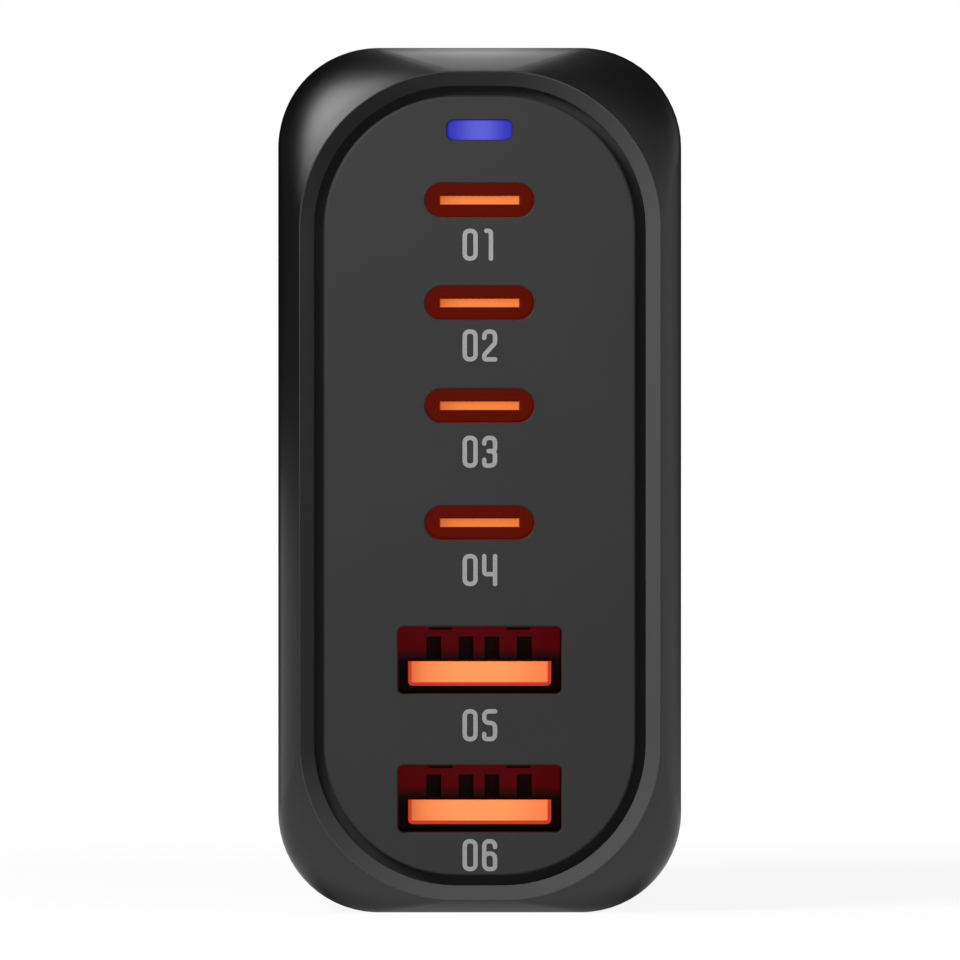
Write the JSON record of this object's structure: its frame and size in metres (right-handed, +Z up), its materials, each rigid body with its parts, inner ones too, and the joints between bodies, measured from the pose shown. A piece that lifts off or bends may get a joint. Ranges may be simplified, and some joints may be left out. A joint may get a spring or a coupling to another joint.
{
  "type": "multi port usb desktop charger",
  "caption": "Upright desktop charger: glossy black rounded sleeve with an inset matte plate of USB-C and USB-A ports, a status light and a two-pin mains inlet.",
  "frame": {"origin": "centre of the body's box, on the surface that it stands on", "axes": "+Z up, the ports face -Y, +X to the right seen from the ports"},
  "size_m": [0.031, 0.072, 0.0665],
  "materials": {
    "gloss_black": "polished moulding",
    "plate_grey": "fine matte texture",
    "light_pipe": "clear, lit blue",
    "lamp": "clear lens",
    "board": "solder mask",
    "black_moulding": "satin moulding",
    "nickel": "nickel plate",
    "steel": "nickel plate",
    "orange": "satin moulding",
    "contact": "gold plate",
    "ferrite": "fired, matte",
    "tape": "polyester tape",
    "copper": "enamelled wire",
    "chip": "moulded epoxy",
    "capacitor_box": "moulded box",
    "ceramic": "dipped lacquer",
    "fuse_case": "moulded case",
    "can_sleeve": "shrink sleeve",
    "aluminium": "bare",
    "pad": "silicone",
    "film": "polyester film"
  },
  "bodies": {
    "root": {"housing": "gloss_black", "rear_cover": "gloss_black", "port_plate": "plate_grey", "light_pipe": "light_pipe", "status_led": "lamp", "port_board": "board", "main_board": "board", "board_header": "black_moulding", "inlet_body": "black_moulding", "inlet_pin_1": "nickel", "inlet_pin_2": "nickel", "transformer_core_1": "ferrite", "transformer_core_2": "ferrite", "transformer_bobbin": "black_moulding", "transformer_winding": "tape", "choke_core": "ferrite", "choke_winding": "copper", "choke_base": "black_moulding", "bridge_rectifier": "chip", "x_capacitor": "capacitor_box", "y_capacitor": "ceramic", "fuse": "fuse_case", "varistor": "ceramic", "switch_chip": "chip", "rectifier_chip": "chip", "thermal_pad": "pad", "heat_spreader": "aluminium", "insulating_sheet": "film", "usb_c_shell_1": "steel", "usb_c_tongue_1": "orange", "usb_c_contacts_1": "contact", "buck_inductor_1": "ferrite", "usb_c_shell_2": "steel", "usb_c_tongue_2": "orange", "usb_c_contacts_2": "contact", "buck_inductor_2": "ferrite", "usb_c_shell_3": "steel", "usb_c_tongue_3": "orange", "usb_c_contacts_3": "contact", "buck_inductor_3": "ferrite", "usb_c_shell_4": "steel", "usb_c_tongue_4": "orange", "usb_c_contacts_4": "contact", "buck_inductor_4": "ferrite", "usb_a_shell_1": "steel", "usb_a_insulator_1": "orange", "usb_a_contacts_1": "contact", "protocol_chip_1": "chip", "bulk_capacitor_1": "can_sleeve", "usb_a_shell_2": "steel", "usb_a_insulator_2": "orange", "usb_a_contacts_2": "contact", "protocol_chip_2": "chip", "bulk_capacitor_2": "can_sleeve", "output_capacitor_1": "aluminium", "output_capacitor_2": "aluminium", "output_capacitor_3": "aluminium"}
  },
  "joints": []
}
